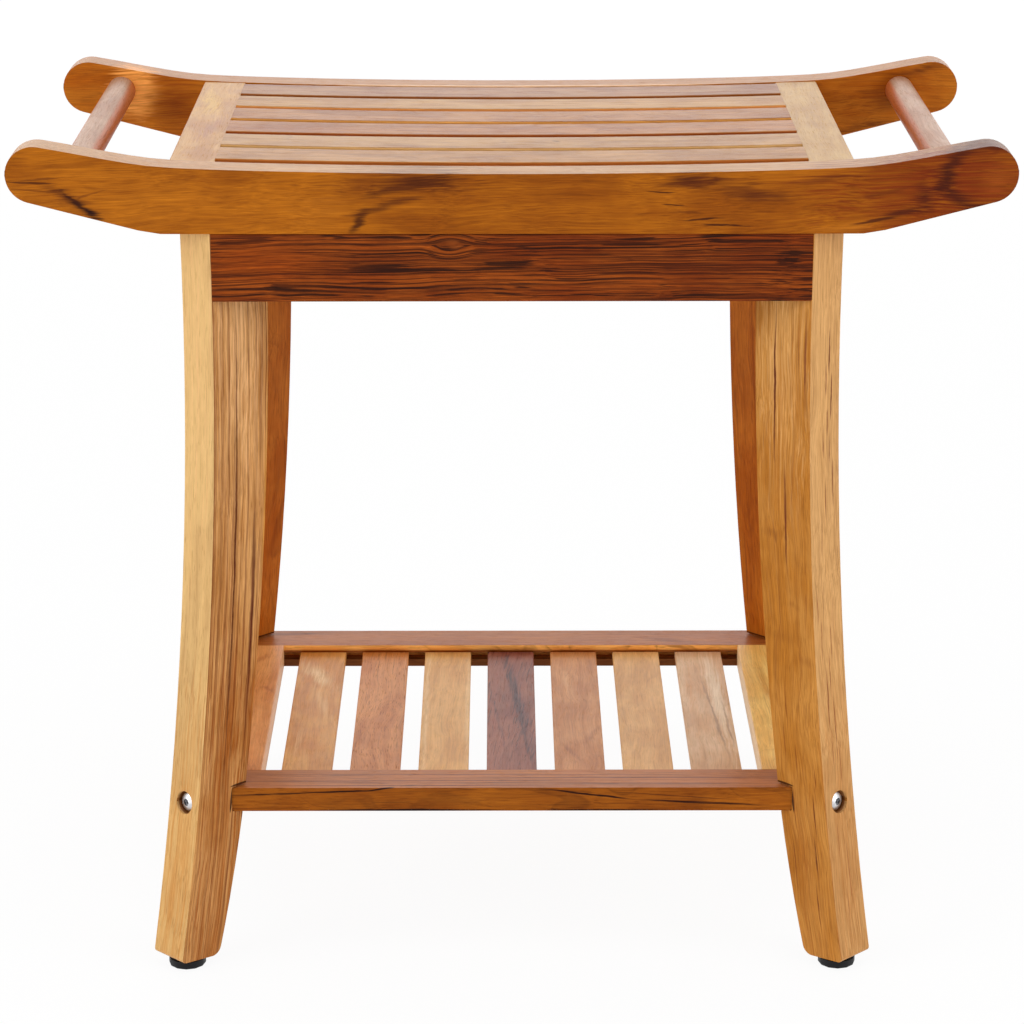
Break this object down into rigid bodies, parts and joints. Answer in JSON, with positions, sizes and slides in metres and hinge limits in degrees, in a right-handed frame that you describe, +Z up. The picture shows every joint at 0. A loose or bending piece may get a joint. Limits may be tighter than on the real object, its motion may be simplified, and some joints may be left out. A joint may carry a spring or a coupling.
{
  "type": "shower bench",
  "caption": "Slatted teak shower bench: upswept long rails joined by round handle bars, curved corner legs on screw-adjusted feet, and a slatted shelf below.",
  "frame": {"origin": "on the floor, under the middle of the bench, with the feet screwed fully in", "axes": "+X along the bench to its right end, +Y to its back, +Z up"},
  "size_m": [0.58, 0.3516, 0.5052],
  "materials": {
    "teak_golden": "oiled golden-brown teak with darker streaks",
    "teak_pale": "oiled pale yellow teak",
    "teak_dark": "oiled dark red-brown teak with near-black lines",
    "teak_pink": "oiled pinkish teak",
    "dowel_wood": "plain hardwood pins, hidden",
    "steel": "stainless screws, bolts, nuts and studs",
    "brass": "threaded inserts, hidden in the legs",
    "black_plastic": "moulded black foot pads"
  },
  "bodies": {
    "bench": {"front_rail": "teak_golden", "back_rail": "teak_golden", "left_end_batten": "teak_golden", "right_end_batten": "teak_pale", "batten_dowels": "dowel_wood", "seat_slat_1": "teak_pale", "seat_slat_2": "teak_golden", "seat_slat_3": "teak_pale", "seat_slat_4": "teak_golden", "seat_slat_5": "teak_pink", "seat_slat_6": "teak_golden", "left_handle_bar": "teak_pink", "right_handle_bar": "teak_pink", "front_apron": "teak_dark", "back_apron": "teak_golden", "left_apron": "teak_golden", "right_apron": "teak_golden", "seat_screws": "steel", "leg_front_left": "teak_golden", "leg_front_right": "teak_golden", "leg_back_left": "teak_golden", "leg_back_right": "teak_golden", "corner_block_front_left": "teak_pale", "corner_block_front_right": "teak_pale", "corner_block_back_left": "teak_pale", "corner_block_back_right": "teak_pale", "leg_bolts": "steel", "leg_washers": "steel", "leg_nuts": "steel", "shelf_front_rail": "teak_golden", "shelf_back_rail": "teak_golden", "shelf_left_batten": "teak_pale", "shelf_right_batten": "teak_pale", "shelf_slat_1": "teak_golden", "shelf_slat_2": "teak_pink", "shelf_slat_3": "teak_pale", "shelf_slat_4": "teak_dark", "shelf_slat_5": "teak_pink", "shelf_slat_6": "teak_golden", "shelf_slat_7": "teak_pale", "shelf_screws": "steel", "foot_inserts": "brass"},
    "foot_front_left": {"foot_pad_front_left": "black_plastic"},
    "stud_front_left": {"foot_stud_front_left": "steel"},
    "foot_front_right": {"foot_pad_front_right": "black_plastic"},
    "stud_front_right": {"foot_stud_front_right": "steel"},
    "foot_back_left": {"foot_pad_back_left": "black_plastic"},
    "stud_back_left": {"foot_stud_back_left": "steel"},
    "foot_back_right": {"foot_pad_back_right": "black_plastic"},
    "stud_back_right": {"foot_stud_back_right": "steel"}
  },
  "joints": [
    {"name": "foot_slide_front_left", "type": "slide", "parent": "bench", "child": "foot_front_left", "axis": [0, 0, -1], "range_m": [0, 0.008]},
    {"name": "stud_turn_front_left", "type": "hinge", "parent": "foot_front_left", "child": "stud_front_left", "pos_m": [-0.19847, -0.15577, 0.01], "axis": [0, 0, -1], "range_deg": [0, 2300]},
    {"name": "foot_slide_front_right", "type": "slide", "parent": "bench", "child": "foot_front_right", "axis": [0, 0, -1], "range_m": [0, 0.008]},
    {"name": "stud_turn_front_right", "type": "hinge", "parent": "foot_front_right", "child": "stud_front_right", "pos_m": [0.19847, -0.15577, 0.01], "axis": [0, 0, -1], "range_deg": [0, 2300]},
    {"name": "foot_slide_back_left", "type": "slide", "parent": "bench", "child": "foot_back_left", "axis": [0, 0, -1], "range_m": [0, 0.008]},
    {"name": "stud_turn_back_left", "type": "hinge", "parent": "foot_back_left", "child": "stud_back_left", "pos_m": [-0.19847, 0.15577, 0.01], "axis": [0, 0, -1], "range_deg": [0, 2300]},
    {"name": "foot_slide_back_right", "type": "slide", "parent": "bench", "child": "foot_back_right", "axis": [0, 0, -1], "range_m": [0, 0.008]},
    {"name": "stud_turn_back_right", "type": "hinge", "parent": "foot_back_right", "child": "stud_back_right", "pos_m": [0.19847, 0.15577, 0.01], "axis": [0, 0, -1], "range_deg": [0, 2300]}
  ],
  "couplings": [
    {"joint": "foot_slide_front_left", "follows": "stud_turn_front_left", "m_per_rad": 0.00019894},
    {"joint": "foot_slide_front_right", "follows": "stud_turn_front_right", "m_per_rad": 0.00019894},
    {"joint": "foot_slide_back_left", "follows": "stud_turn_back_left", "m_per_rad": 0.00019894},
    {"joint": "foot_slide_back_right", "follows": "stud_turn_back_right", "m_per_rad": 0.00019894}
  ]
}
